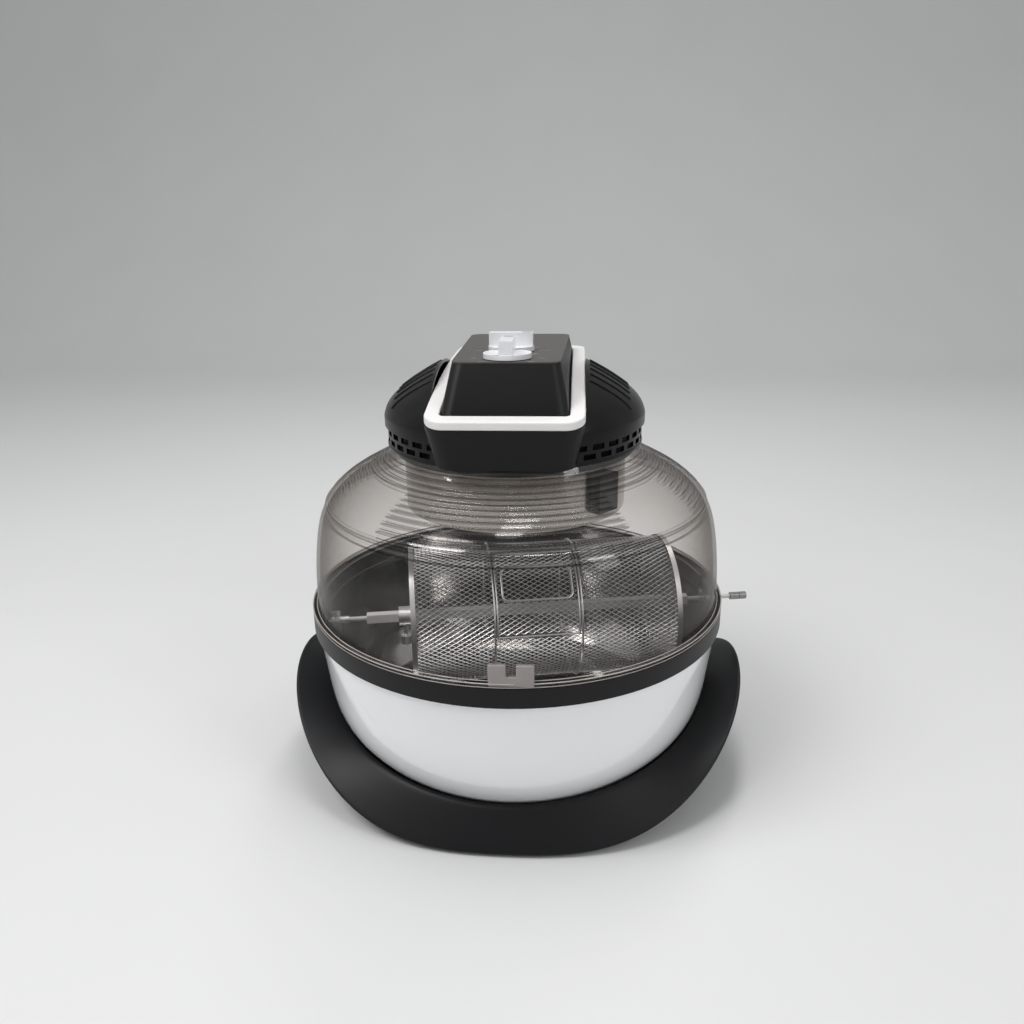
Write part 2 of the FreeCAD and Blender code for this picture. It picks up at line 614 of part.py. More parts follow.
keep("dome", fuse(dome_wall, flange, neck, catch))

# ---------------------------------------------------------------- head: base, grilles and caps

plate_low = S.neck_top + S.head_gap
plate_top = plate_low + S.plate_height
shaft_hole = S.fan_shaft_radius + 1
keep("head_plate", washer(S.plate_radius, shaft_hole, plate_low, S.plate_height))
keep("bayonet_ring", washer(S.bayonet_radius, S.bayonet_radius - S.bayonet_wall,
                            plate_low - S.bayonet_drop, S.bayonet_drop))


def pod_outline(inset, height, low=False):
    """The rounded outline of the head's long pod; its low edge is drawn in."""
    half = (S.pod_low_half_width if low else S.pod_half_width) - inset
    front = S.pod_front + inset + (S.pod_low_inset if low else 0)
    back = S.pod_back - inset - (S.pod_low_inset if low else 0)
    half, front, back, corner = half.number, front.number, back.number, (S.pod_corner - inset).number
    return rounded_polygon([(-half, front), (half, front), (half, back), (-half, back)], corner, height)


def pod_solid(inset, low, high):
    """The pod's filled shape: drawn in below the nose's top edge, upright above it."""
    nose = S.nose_top.number
    tapered = Part.makeLoft([pod_outline(inset, low, True), pod_outline(inset, nose)], True, True)
    upright = Part.Face(pod_outline(inset, nose)).extrude(Vector(0, 0, high - nose))
    return tapered.fuse(upright).removeSplitter()


def arch(drop, thickness):
    """A slab whose top follows the pod's arch, lowered by a drop."""
    rear = S.pod_back.number
    span = rear - S.pod_front.number
    top = []
    for i in range(13):
        y = S.pod_front.number - 5 + (span + 10) * i / 12
        lean = max(rear - y, 0) / span
        top.append(Vector(-100, y, S.arch_rear.number - S.arch_drop.number * lean ** S.arch_power.number - drop))
    curve = Part.BSplineCurve()
    curve.interpolate(top)
    edges = [curve.toShape()] + lines([top[-1], top[-1] - Vector(0, 0, thickness),
                                       top[0] - Vector(0, 0, thickness + 60), top[0]])
    return Part.Face(Part.Wire(Part.__sortEdges__(edges))).extrude(Vector(200, 0, 0))


frame_height = S.frame_height.number
under_frame = arch(frame_height, 120)
pod_cut = pod_solid(-0.3, plate_low.number - 1, 400)
for side, name in ((-1, "left"), (1, "right")):
    half_space = block(200, 300, 200, side * 100, 0, plate_low - 5)
    band = washer(S.vent_radius, S.vent_radius - S.vent_wall, plate_top, S.vent_top - plate_top)
    slots = []
    count = int(round(360 / S.vent_pitch_angle.number))
    for k, share in enumerate(VENT_ROWS):
        for i in range(count):
            angle = (i + 0.5 * k) * S.vent_pitch_angle.number
            if abs(math.sin(math.radians(angle))) > 0.86 or math.cos(math.radians(angle)) * side < 0.1:
                continue
            height = plate_top + (S.vent_top - plate_top) * share - S.vent_slot_height / 2
            slot = bind(doc.addObject("Part::Box", "Slot"), Length=10, Width=S.vent_slot_width,
                        Height=S.vent_slot_height)
            turn = Rotation(UP, angle)
            corner = turn.multVec(Vector(S.vent_radius.number - 6, -S.vent_slot_width.number / 2, 0))
            move(slot, corner.x, corner.y, height, turn)
            slots.append(slot)
    keep(f"vent_grille_{name}", common(cut(band, made(pod_cut), *slots), half_space))

cap_points = [(S.cap_radius, S.cap_skirt), (S.cap_bend_radius, S.cap_bend_height),
              (S.cap_mid_radius, S.cap_mid_height), (4, S.cap_top)]
cap_outer = side_curve(cap_points, (-0.2, 0, 1), (-1, 0, 0))
cap_inner = side_curve(cap_points, (-0.2, 0, 1), (-1, 0, 0), S.cap_wall.number)
skirt_low = S.vent_top.number
cap_edges = lines([cap_inner[0], Vector(cap_inner[0].x, 0, skirt_low),
                   Vector(cap_outer[0].x, 0, skirt_low), cap_outer[0]])
cap_edges += [smooth(cap_outer), smooth(cap_inner[::-1])] + lines([cap_outer[-1], cap_inner[-1]])
cap_solid = spun(cap_edges)
for side, name in ((-1, "left"), (1, "right")):
    half_space = block(200, 300, 200, side * 100, 0, S.vent_top - 5)
    seat = washer(S.cap_radius - 1, S.vent_radius - S.vent_wall, S.vent_top, 2)
    keep(f"head_cap_{name}", common(cut(fuse(made(cap_solid), seat), made(pod_cut)), half_space))

# ---------------------------------------------------------------- head: pod, frame and control box

pod_low = plate_top.number
housing = pod_solid(0, pod_low, 400).cut(pod_solid(S.pod_wall.number, pod_low - 1, 401)).common(under_frame)
nose_floor = pod_solid(0.5, pod_low, 400).common(
    Part.makeBox(200, 300, S.pod_wall.number, Vector(-100, -150, pod_low)))
nose_floor = nose_floor.cut(Part.makeCylinder(
    S.vent_radius.number - S.vent_wall.number - 4, 50, Vector(0, 0, pod_low - 20)))
gland_hole = Part.makeCylinder(
    S.gland_radius.number - 2, 20, Vector(0, S.pod_back.number - 12, S.gland_height.number), Vector(0, 1, 0))
keep("head_pod", made(housing.fuse(nose_floor).removeSplitter().cut(gland_hole)))

frame_ring = Part.Face(pod_outline(0, 300)).extrude(Vector(0, 0, 100)).cut(
    Part.Face(pod_outline(S.frame_band, 299)).extrude(Vector(0, 0, 102)))
keep("control_frame", made(frame_ring.common(arch(0, 200)).cut(under_frame)))

side_slope = (S.pod_half_width - S.frame_band - S.panel_half_width) / (S.panel_top - S.box_low)


def box_solid(inset, top_drop):
    """The control box's filled shape: slanting sides above the frame, upright inside it."""
    low = S.nose_top.number - 2
    high = S.panel_top.number - top_drop
    fall = high - low
    slope = side_slope.number
    front_slope = (S.panel_front - S.box_front).number / (S.panel_top - S.box_low).number
    top_front, top_back = S.panel_front.number + inset, S.panel_back.number - inset
    narrow, wide = S.panel_half_width.number - inset, S.panel_rear_half_width.number - inset
    corner = S.panel_corner.number - inset

    def outline(height):
        down = high - height
        front = top_front - front_slope * (down + top_drop)
        back = top_back + front_slope * 2 * (down + top_drop)
        near = narrow + slope * (down + top_drop)
        far = wide + slope * (down + top_drop)
        return rounded_polygon([(-near, front), (near, front), (far, back), (-far, back)], corner, height)

    slanted = Part.makeLoft([outline(low), outline(high)], True, True)
    inside = Part.Face(pod_outline(S.frame_band + 0.2 + inset, low)).extrude(Vector(0, 0, fall))
    return slanted.common(inside), outline(high)


box_outer, box_top = box_solid(0, S.panel_wall.number)
box_inner, _ = box_solid(S.box_wall.number, S.panel_wall.number + S.box_wall.number)
knob_holes = [Part.makeCylinder(S.knob_shaft_radius.number + 0.5, 30, Vector(0, place.number, S.panel_top.number - 20))
              for place in (S.timer_place, S.thermostat_place)]
box_shell = box_outer.cut(box_inner.fuse(box_inner.translated(Vector(0, 0, -5))))
keep("control_box", made(box_shell.cut(knob_holes)))
control_panel = Part.Face(box_top).extrude(Vector(0, 0, S.panel_wall.number))
keep("control_panel", made(control_panel.cut(knob_holes)))

# ---------------------------------------------------------------- knobs and the switches under them

under_panel = S.panel_top - S.panel_wall - S.box_wall
for name, place, quarter in (("timer", S.timer_place, False), ("thermostat", S.thermostat_place, True)):
    low = S.panel_top + S.knob_rise
    disc = cylinder(S.knob_radius, S.knob_disc, 0, place, low)
    long, wide = S.knob_radius * 2 - 2, S.knob_grip_width
    length, width = (long, wide) if quarter else (wide, long)
    grip = block(length, width, S.knob_grip_height, 0, place, low + S.knob_disc)
    top = low + S.knob_disc + S.knob_grip_height
    shaft_space = cylinder(S.knob_shaft_radius, 6.01, 0, place, low - 0.01)
    inset_x = long / 2 - S.pointer_length / 2 - 1 if quarter else of(0)
    inset_y = of(0) if quarter else long / 2 - S.pointer_length / 2 - 1
    size_x, size_y = (S.pointer_length, wide - 3) if quarter else (wide - 3, S.pointer_length)
    pocket = block(size_x, size_y, S.pointer_sink + 1, inset_x, place + inset_y, top - S.pointer_sink)
    pointer = block(size_x, size_y, S.pointer_sink + S.pointer_proud, inset_x, place + inset_y,
                    top - S.pointer_sink)
    knob = "timer_knob" if name == "timer" else "temperature_knob"
    keep(knob, cut(fuse(disc, grip), shaft_space, pocket))
    keep(f"{knob}_pointer", pointer)
    shaft_low = under_panel - S.knob_shaft_length
    keep(f"{knob}_shaft", cylinder(S.knob_shaft_radius, low + 6 - shaft_low, 0, place, shaft_low))
    body = block(S.switch_body, S.switch_body, S.switch_height, 0, place, under_panel - S.switch_height)
    body_hole = cylinder(S.knob_shaft_radius + S.running_gap, S.knob_shaft_length + 1.5, 0, place, shaft_low - 0.5)
    keep(f"{name}_switch", cut(body, body_hole))

# ---------------------------------------------------------------- heater, fan and motor

shroud = washer(S.shroud_radius, S.shroud_radius - S.shroud_wall, S.shroud_low, plate_low - S.shroud_low)
windows = []
for i in range(WINDOWS):
    turn = Rotation(UP, 360 / WINDOWS * i)
    corner = turn.multVec(Vector(S.shroud_radius.number - 5, -S.window_width.number / 2, 0))
    if corner.y > 0:
        window = bind(doc.addObject("Part::Box", "Window"), Length=10, Width=S.window_width, Height=S.window_height)
        windows.append(move(window, corner.x, corner.y, S.shroud_low + S.window_rise, turn))
keep("heater_shroud", cut(shroud, *windows))

turn = Rotation(UP, SENSOR_AZIMUTH)
corner = turn.multVec(Vector(S.shroud_radius.number - 5, -S.sensor_width.number / 2, 0))
sensor = bind(doc.addObject("Part::Box", "Sensor"), Length=S.sensor_depth + 5, Width=S.sensor_width,
              Height=S.sensor_height)
keep("sensor_housing", cut(move(sensor, corner.x, corner.y, S.sensor_low, turn),
                           cylinder(S.shroud_radius, S.sensor_height + 2, 0, 0, S.sensor_low - 1)))

ring_height = S.shroud_low + S.guard_wire * 3
guard_wires = [ring(S.shroud_radius - S.shroud_wall - S.guard_wire - S.guard_spacing * i, S.guard_wire, 0, 0, ring_height)
               for i in range(GUARD_RINGS)]
spoke_length = S.shroud_radius - S.shroud_wall
for i in range(GUARD_SPOKES):
    turn = Rotation(UP, 360 / GUARD_SPOKES * i)
    spoke = bind(doc.addObject("Part::Cylinder", "Spoke"), Radius=S.guard_wire,
                 Height=spoke_length - S.guard_hub + 2)
    start = turn.multVec(Vector(S.guard_hub.number - 2, 0, 0))
    move(spoke, start.x, start.y, S.shroud_low + S.guard_wire, turn.multiply(TURN_FROM_Z["x"]))
    guard_wires.append(spoke)
guard_wires.append(ring(S.guard_hub, S.guard_wire, 0, 0, ring_height))
keep("heater_guard", fuse(*guard_wires))

reflector_low = S.fan_height + S.fan_blade + 4
keep("heat_reflector", turned([
    (S.reflector_inner, reflector_low + 4), (S.reflector_radius, reflector_low - 1),
    (S.reflector_radius, reflector_low), (S.reflector_inner, reflector_low + 5),
    (shaft_hole, reflector_low + 5), (shaft_hole, reflector_low + 4)]))
keep("heater_lamp", ring(S.heater_ring, S.heater_tube, 0, 0, S.heater_height))
clips = []
for i in range(HEATER_CLIPS):
    turn = Rotation(UP, 360 / HEATER_CLIPS * i + 30)
    high = reflector_low - S.heater_height
    side, low = -S.clip_width.number / 2, S.heater_height.number - 6
    leg = Part.makeBox(S.clip_wall.number, S.clip_width.number, high.number + 6,
                       Vector(S.heater_ring.number + S.heater_tube.number + 1, side, low))
    foot = Part.makeBox(S.heater_tube.number + 8, S.clip_width.number, S.clip_wall.number,
                        Vector(S.heater_ring.number - 5, side, low))
    clip = leg.fuse(foot)
    clip.Placement = Placement(Vector(), turn)
    clips.append(made(clip))
keep("heater_clips", cut(group(*clips), pieces["heater_lamp"], pieces["heat_reflector"]))

motor_top = S.motor_low + S.motor_height
shaft = cylinder(S.fan_shaft_radius, S.cool_fan_height + 8 - S.fan_height + 4, 0, 0, S.fan_height - 4)
keep("fan_shaft", shaft)


def fan(radius, height, blade, hub):
    """Flat pitched blades on a hub that sits on the shaft."""
    blades = []
    for i in range(FAN_BLADES):
        plate = Part.makeBox(radius - hub + 3, 1.2, blade * 1.6, Vector(hub - 3, -0.6, -blade * 0.8))
        plate.rotate(Vector(), Vector(1, 0, 0), 58)
        plate.translate(Vector(0, 0, height + blade / 2))
        plate.rotate(Vector(), UP, 360 / FAN_BLADES * i)
        blades.append(made(plate))
    core = cylinder(hub, blade, 0, 0, height)
    return cut(fuse(core, *blades), cylinder(S.fan_shaft_radius, blade * 3, 0, 0, height - blade))


keep("oven_fan", fan(S.fan_radius.number, S.fan_height.number, S.fan_blade.number, S.fan_hub.number))
keep("cooling_fan", fan(S.cool_fan_radius.number, S.cool_fan_height.number, 5, S.fan_hub.number))
shaft_space = cylinder(S.fan_shaft_radius + S.running_gap, 120, 0, 0, S.fan_height - 10)
keep("fan_motor", cut(cylinder(S.motor_radius, S.motor_height, 0, 0, S.motor_low), shaft_space))
posts = []
for i in range(MOTOR_POSTS):
    angle = math.radians(360 / MOTOR_POSTS * i + 90)
    posts.append(cylinder(S.post_radius, S.motor_low - plate_top, S.post_circle * math.cos(angle),
                          S.post_circle * math.sin(angle), plate_top))
keep("motor_posts", group(*posts))

# ---------------------------------------------------------------- wiring parts and the cord's inlet

keep("terminal_block", block(S.terminal_width, S.terminal_size, S.terminal_size, 0, S.terminal_place, plate_top))
keep("thermal_cutout", cylinder(S.cutout_radius, S.cutout_height, S.cutout_x, S.cutout_y, plate_top))
gland = cut(fuse(cylinder(S.gland_radius, 2.5, 0, S.pod_back, S.gland_height, "y"),
                 cylinder(S.gland_radius - 2, S.gland_length + 3, 0, S.pod_back - 4, S.gland_height, "y")),
            cylinder(S.gland_bore, 60, 0, S.pod_back - 20, S.gland_height, "y"))
keep("cord_gland", gland)
screws = []
for i in range(HEAD_SCREWS):
    angle = math.radians(360 / HEAD_SCREWS * i + 45)
    screws.append(cylinder(S.screw_radius, S.screw_height, S.screw_circle * math.cos(angle),
                           S.screw_circle * math.sin(angle), plate_low - S.screw_height))
keep("head_screws", group(*screws))

# ---------------------------------------------------------------- build, test and write

doc.recompute()
faults = []
for thing in doc.Objects:
    if {"Invalid", "Error"} & set(thing.State):
        faults.append(f"{thing.Name} ({thing.Label}) is {thing.State}")
for label, thing in pieces.items():
    if thing.Shape.isNull() or not thing.Shape.isValid() or not thing.Shape.Solids:
        faults.append(f"{label} has no valid solid")
if faults:
    raise SystemExit("\n".join(faults))
os.makedirs("parts", exist_ok=True)
for label, thing in pieces.items():
    thing.Shape.exportStep(f"parts/{label}.step")
print(f"{len(pieces)} sub-parts written")
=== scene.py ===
"""Rotisserie oven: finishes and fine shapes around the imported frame. Lengths are in metres."""
import math

import bpy
import numpy as np
from mathutils import Matrix, Vector
from mathutils.bvhtree import BVHTree


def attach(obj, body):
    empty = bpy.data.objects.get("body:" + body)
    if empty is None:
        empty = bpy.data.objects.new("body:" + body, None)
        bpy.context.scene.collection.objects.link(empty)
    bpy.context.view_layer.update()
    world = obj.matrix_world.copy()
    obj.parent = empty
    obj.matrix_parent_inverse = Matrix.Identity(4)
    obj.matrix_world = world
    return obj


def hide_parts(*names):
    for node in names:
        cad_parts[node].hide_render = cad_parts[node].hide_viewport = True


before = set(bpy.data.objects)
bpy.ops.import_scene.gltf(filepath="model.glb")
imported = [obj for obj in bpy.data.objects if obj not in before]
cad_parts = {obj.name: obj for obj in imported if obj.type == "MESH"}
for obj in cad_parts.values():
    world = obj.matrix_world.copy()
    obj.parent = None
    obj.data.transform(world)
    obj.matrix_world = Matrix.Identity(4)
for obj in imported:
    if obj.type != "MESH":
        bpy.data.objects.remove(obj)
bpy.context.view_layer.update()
MM = 0.001

# ---------------------------------------------------------------- sizes shared with the frame

BOWL_TURN = math.radians(11)
SPIT_HEIGHT = 139 * MM
DRUM_RADIUS = 64 * MM
DRUM_WALL = 1.2 * MM
DRUM_LEFT = -100 * MM
DRUM_RIGHT = 143 * MM
HOOP_LEFT = -27 * MM
HOOP_RIGHT = 52 * MM
DOOR_LOW = 2
DOOR_HIGH = 78
SHELL_HIGH = 84
PANEL_TOP = 389.5 * MM
KNOB_PLACES = {"timer": -70 * MM, "temperature": -27 * MM}
KNOB_RADIUS = 19.3 * MM
RIB_STEP = 5.3
RIB_RADII = [117 + RIB_STEP * i for i in range(11)]
RIB_HEIGHT = 1.5
RIB_WIDTH = 2.8
WINDOW_AZIMUTHS = (-52, 52)
WINDOW_HALF = 15
WINDOW_RIBS = (3, 9)


# ---------------------------------------------------------------- camera, light and floor

CAMERA_RADIUS = 747.3 * MM
CAMERA_HEIGHT = 487.5 * MM
CAMERA_PITCH = math.radians(18.5)
CAMERA_TURN = math.radians(4.6)
CAMERA_ROLL = math.radians(-0.78)
CAMERA_SIDE = -3.6 * MM
LENS = 850 / 1024 * 36


def camera():
    data = bpy.data.cameras.new("camera")
    data.lens = LENS
    data.sensor_width = 36
    data.clip_start = 0.01
    eye = bpy.data.objects.new("camera", data)
    bpy.context.scene.collection.objects.link(eye)
    turn = Matrix.Rotation(CAMERA_TURN, 4, "Z")
    place = turn @ Matrix.Translation((CAMERA_SIDE, -CAMERA_RADIUS, CAMERA_HEIGHT))
    look = Matrix.Rotation(math.pi / 2 - CAMERA_PITCH, 4, "X")
    eye.matrix_world = place @ look @ Matrix.Rotation(CAMERA_ROLL, 4, "Z")
    bpy.context.scene.camera = eye


def lamp(name, place, size, power, target=(0, 0, 0.2), colour=(1, 1, 1)):
    data = bpy.data.lights.new(name, "AREA")
    data.shape = "RECTANGLE"
    data.size, data.size_y = size
    data.energy = power
    data.color = colour
    light = bpy.data.objects.new(name, data)
    light.location = place
    light.rotation_euler = (Vector(target) - Vector(place)).to_track_quat("-Z", "Y").to_euler()
    bpy.context.scene.collection.objects.link(light)


# ---------------------------------------------------------------- shader expressions

class Wire:
    """A socket that can be used in Python expressions; each operator adds a Math node."""

    def __init__(self, finish, socket):
        self.finish = finish
        self.socket = socket

    def math(self, operation, *values):
        return self.finish.math(operation, *values)

    def __add__(self, other):
        return self.math("ADD", self, other)

    def __radd__(self, other):
        return self.math("ADD", other, self)

    def __sub__(self, other):
        return self.math("SUBTRACT", self, other)

    def __rsub__(self, other):
        return self.math("SUBTRACT", other, self)

    def __mul__(self, other):
        return self.math("MULTIPLY", self, other)

    def __rmul__(self, other):
        return self.math("MULTIPLY", other, self)

    def __truediv__(self, other):
        return self.math("DIVIDE", self, other)

    def __pow__(self, other):
        return self.math("POWER", self, other)

    def clamped(self):
        return self.math("MINIMUM", self.math("MAXIMUM", self, 0.0), 1.0)


class Finish:
    """A node material."""

    def __init__(self, name):
        self.material = bpy.data.materials.new(name)
        self.material.use_nodes = True
        self.tree = self.material.node_tree
        self.tree.nodes.clear()

    def node(self, kind, settings=None, inputs=None, output=0):
        made = self.tree.nodes.new(kind)
        for key, value in (settings or {}).items():
            if key == "stops":
                ramp = made.color_ramp
                for stop, (place, colour) in zip(range(len(value)), value):
                    element = ramp.elements[stop] if stop < 2 else ramp.elements.new(place)
                    element.position = place
                    element.color = (*colour, 1)
            else:
                setattr(made, key, value)
        for key, value in (inputs or {}).items():
            self.feed(made.inputs[key], value)
        return Wire(self, made.outputs[output])

    def feed(self, socket, value):
        if isinstance(value, Wire):
            self.tree.links.new(value.socket, socket)
        elif isinstance(value, (tuple, list)) and len(value) == 3 and socket.type == "RGBA":
            socket.default_value = (*value, 1)
        else:
            socket.default_value = value

    def math(self, operation, *values):
        return self.node("ShaderNodeMath", {"operation": operation}, dict(enumerate(values)))

    def place(self):
        return self.node("ShaderNodeTexCoord", output=3)

    def noise(self, scale, detail=3, rough=0.5, vector=None, stretch=None):
        vector = vector or self.place()
        if stretch:
            vector = self.node("ShaderNodeMapping", {}, {"Vector": vector, "Scale": stretch})
        return self.node("ShaderNodeTexNoise", {}, {
            "Vector": vector, "Scale": scale, "Detail": detail, "Roughness": rough})

    def bump(self, height, strength, distance=0.0002):
        return self.node("ShaderNodeBump", {}, {"Height": height, "Strength": strength, "Distance": distance})

    def blend(self, mask, first, second):
        made = self.tree.nodes.new("ShaderNodeMix")
        made.data_type = "RGBA"
        for key, value in ((0, mask), (6, first), (7, second)):
            self.feed(made.inputs[key], value)
        return Wire(self, made.outputs[2])

    def surface(self, **values):
        names = {key.replace("_", " "): value for key, value in values.items()}
        shader = self.node("ShaderNodeBsdfPrincipled", {}, names)
        return self.output(shader)

    def output(self, shader):
        end = self.tree.nodes.new("ShaderNodeOutputMaterial")
        self.tree.links.new(shader.socket, end.inputs["Surface"])
        return self.material


def plastic(name, colour, rough, grain=0.0, grain_size=1400, spread=0.12, coat=0.0, specular=0.5):
    """Moulded plastic: a fine grain in the bump, with handling haze in colour and roughness."""
    finish = Finish(name)
    haze = finish.noise(9, 4, 0.6)
    fine = finish.noise(grain_size, 2)
    lighter = tuple(min(1, c * (1 + spread) + 0.004 * spread) for c in colour)
    darker = tuple(c * (1 - spread) for c in colour)
    shade = finish.blend(haze, darker, lighter)
    roughness = (rough - 0.07) + haze * 0.1 + fine * 0.05
    values = {"Base_Color": shade, "Roughness": roughness, "Specular_IOR_Level": specular}
    if coat:
        values.update(Coat_Weight=coat, Coat_Roughness=0.06)
    if grain:
        values["Normal"] = finish.bump(fine, grain)
    return finish.surface(**values)


def metal(name, colour, rough, brushed=None, wear=0.08):
    """Bare or plated metal, with fine rub marks along one direction."""
    finish = Finish(name)
    marks = finish.noise(160, 3, 0.6, stretch=brushed or (1, 1, 1))
    haze = finish.noise(22, 4, 0.6)
    shade = finish.blend(haze, tuple(c * (1 - wear) for c in colour), colour)
    return finish.surface(Base_Color=shade, Metallic=1.0, Roughness=(rough - 0.05) + marks * 0.1 + haze * 0.06,
                          Normal=finish.bump(marks, 0.03))


def smoky_clear(name, tint, edge_tint, ribs=False):
    """Clear plastic with a light smoke: thin tint face on, deeper at a grazing angle, with gloss on top; with ribs,
    painted shade darkens the tint on the rib flanks and a painted highlight lifts the gloss on the rib crests.
    """
    finish = Finish(name)
    facing = finish.node("ShaderNodeLayerWeight", {}, {"Blend": 0.5}, output=1)
    deep = facing ** 2.2
    painted_glint_gloss = 0.0
    # painted light on the ribs: painted shade on the flanks, painted highlight on the crests
    if ribs:
        painted_rib_shade, painted_rib_glint = rib_lines(finish)
        painted_glint_gloss = painted_rib_glint * 0.22
    shade = finish.blend(deep.clamped(), tint, edge_tint)
    if ribs:
        shade = finish.blend(painted_rib_shade.clamped(), shade, (0.40, 0.375, 0.355))
    see_through = finish.node("ShaderNodeBsdfTransparent", {}, {"Color": shade})
    haze = finish.noise(40, 3)
    gloss = finish.node("ShaderNodeBsdfPrincipled", {}, {
        "Base Color": (0.05, 0.045, 0.04), "Metallic": 0.0, "Roughness": 0.03 + haze * 0.03,
        "Specular IOR Level": 1.0, "IOR": 3.0})
    amount = (0.03 + facing ** 5 * 0.8 + painted_glint_gloss).clamped()
    return finish.output(finish.node("ShaderNodeMixShader", {}, {0: amount, 1: see_through, 2: gloss}))


def rib_lines(finish):
    """Masks for the painted shade on the flank and the painted highlight on the crest of each rib on the shoulder of
    the lid.
    """
    parts = finish.tree.nodes.new("ShaderNodeSeparateXYZ")
    finish.feed(parts.inputs[0], finish.place())
    x, y, z = (Wire(finish, parts.outputs[i]) for i in range(3))
    radius = (x * x + y * y) ** 0.5
    steps = (radius - (RIB_RADII[0] - RIB_STEP / 2) * MM) / (RIB_STEP * MM)
    phase = finish.math("FRACT", steps)
    shoulder = finish.math("GREATER_THAN", z, 0.246) * finish.math("LESS_THAN", radius, 0.1745)
    azimuth = finish.math("ARCTAN2", x, 0.0 - y)
    open_face = 1.0
    for centre in WINDOW_AZIMUTHS:
        away = finish.math("ABSOLUTE", azimuth - math.radians(centre))
        inside = finish.math("LESS_THAN", away, math.radians(WINDOW_HALF))
        open_face = open_face - inside
    low, high = (steps_at(k) for k in WINDOW_RIBS)
    middle = finish.math("GREATER_THAN", steps, low) * finish.math("LESS_THAN", steps, high)
    ribbed = shoulder * (1.0 - middle * (1.0 - open_face))
    flank = (1.0 - finish.math("ABSOLUTE", phase - 0.74) * 9.0).clamped()
    flank = flank + (1.0 - finish.math("ABSOLUTE", phase - 0.26) * 12.0).clamped() * 0.6
    crest = (1.0 - finish.math("ABSOLUTE", phase - 0.5) * 8.0).clamped()
    return flank * ribbed, crest * ribbed


def steps_at(rib):
    return rib + (0.0 if rib == WINDOW_RIBS[0] else 1.0)


BLACK = plastic("black_plastic_grained", (0.0045, 0.0045, 0.0056), 0.45, grain=0.25, specular=0.30)
BLACK_CAP = plastic("black_cap_satin", (0.0028, 0.0028, 0.0032), 0.28, grain=0.12, specular=0.24)
BLACK_BOX = plastic("black_box_satin", (0.005, 0.005, 0.005), 0.42, grain=0.12, specular=0.26)
PANEL = plastic("panel_satin", (0.052, 0.046, 0.042), 0.36, grain=0.06)
RIM = plastic("rim_black", (0.004, 0.004, 0.0045), 0.4, grain=0.12, specular=0.26)
WHITE = plastic("white_gloss", (0.90, 0.91, 0.93), 0.16, spread=0.015, coat=0.6)
WHITE_FRAME = plastic("white_satin", (0.82, 0.80, 0.79), 0.34, spread=0.015, grain=0.03)
KNOB_WHITE = plastic("knob_white", (0.84, 0.84, 0.86), 0.26, spread=0.012, coat=0.25)
POINTER = plastic("pointer_grey", (0.42, 0.41, 0.41), 0.4, spread=0.05)
PRINT = plastic("print_grey", (0.30, 0.28, 0.26), 0.5, spread=0.05)
RUBBER = plastic("foot_rubber", (0.02, 0.02, 0.02), 0.7, grain=0.3)
INSIDE_BLACK = plastic("inside_black", (0.02, 0.02, 0.02), 0.5)
NYLON = plastic("bearing_nylon", (0.06, 0.06, 0.06), 0.45)
PAN_STEEL = metal("pan_steel", (0.44, 0.435, 0.43), 0.09, brushed=(9, 9, 0.6))
BRIGHT_STEEL = metal("bright_steel", (0.90, 0.90, 0.90), 0.3, brushed=(1, 8, 8))
WIRE_STEEL = metal("plated_wire", (0.95, 0.95, 0.95), 0.38)
DARK_STEEL = metal("dark_steel", (0.30, 0.29, 0.28), 0.32)
SHROUD_STEEL = metal("shroud_steel", (0.52, 0.50, 0.48), 0.16, brushed=(1, 1, 10))
FAN_METAL = metal("fan_metal", (0.25, 0.25, 0.25), 0.4)
# ribs=True adds painted shade on the rib flanks and a painted highlight on the rib crests
SMOKY = smoky_clear("smoky_clear", (0.982, 0.974, 0.967), (0.60, 0.565, 0.54), ribs=True)
# darker copy of the plated wire: painted shade for the strand faces inside the drum
WIRE_PAINTED_SHADE = metal("plated_wire_painted_shade", (0.16, 0.155, 0.15), 0.42)
# light finish for thin tubes on the flange edges: painted highlight lines
FLANGE_PAINTED_HIGHLIGHT = plastic("flange_painted_highlight", (0.50, 0.465, 0.44), 0.15, spread=0.05, coat=0.5)
LUG = plastic("frosted_tab", (0.27, 0.245, 0.23), 0.25, spread=0.05, coat=0.4)
BAR_STEEL = plastic("zinc_bar", (0.66, 0.66, 0.65), 0.38, spread=0.06)
LAMP = plastic("lamp_quartz", (0.62, 0.58, 0.52), 0.15, spread=0.05, coat=0.5)


# ---------------------------------------------------------------- mesh helpers

def finish_piece(piece, body, material, slot, *nodes):
    """Gives a finished mesh its material and body, and hides the frame nodes it stands for; the slot argument is not
    used.
    """
    piece.data.materials.clear()
    piece.data.materials.append(material)
    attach(piece, body)
    if nodes:
        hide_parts(*nodes)
    return piece


def mesh_piece(name, points, faces):
    mesh = bpy.data.meshes.new(name)
    mesh.from_pydata([tuple(p) for p in points], [], [tuple(f) for f in faces])
    mesh.update()
    piece = bpy.data.objects.new(name, mesh)
    bpy.context.scene.collection.objects.link(piece)
    return piece


def only(piece):
    bpy.ops.object.select_all(action="DESELECT")
    piece.select_set(True)
    bpy.context.view_layer.objects.active = piece


def smooth(piece, angle=40):
    only(piece)
    bpy.ops.object.shade_smooth_by_angle(angle=math.radians(angle))


def modified(piece, kind, **settings):
    """Adds a modifier and applies it."""
    modifier = piece.modifiers.new(kind, kind)
    for key, value in settings.items():
        setattr(modifier, key, value)
    only(piece)
    bpy.ops.object.modifier_apply(modifier=modifier.name)
    return piece


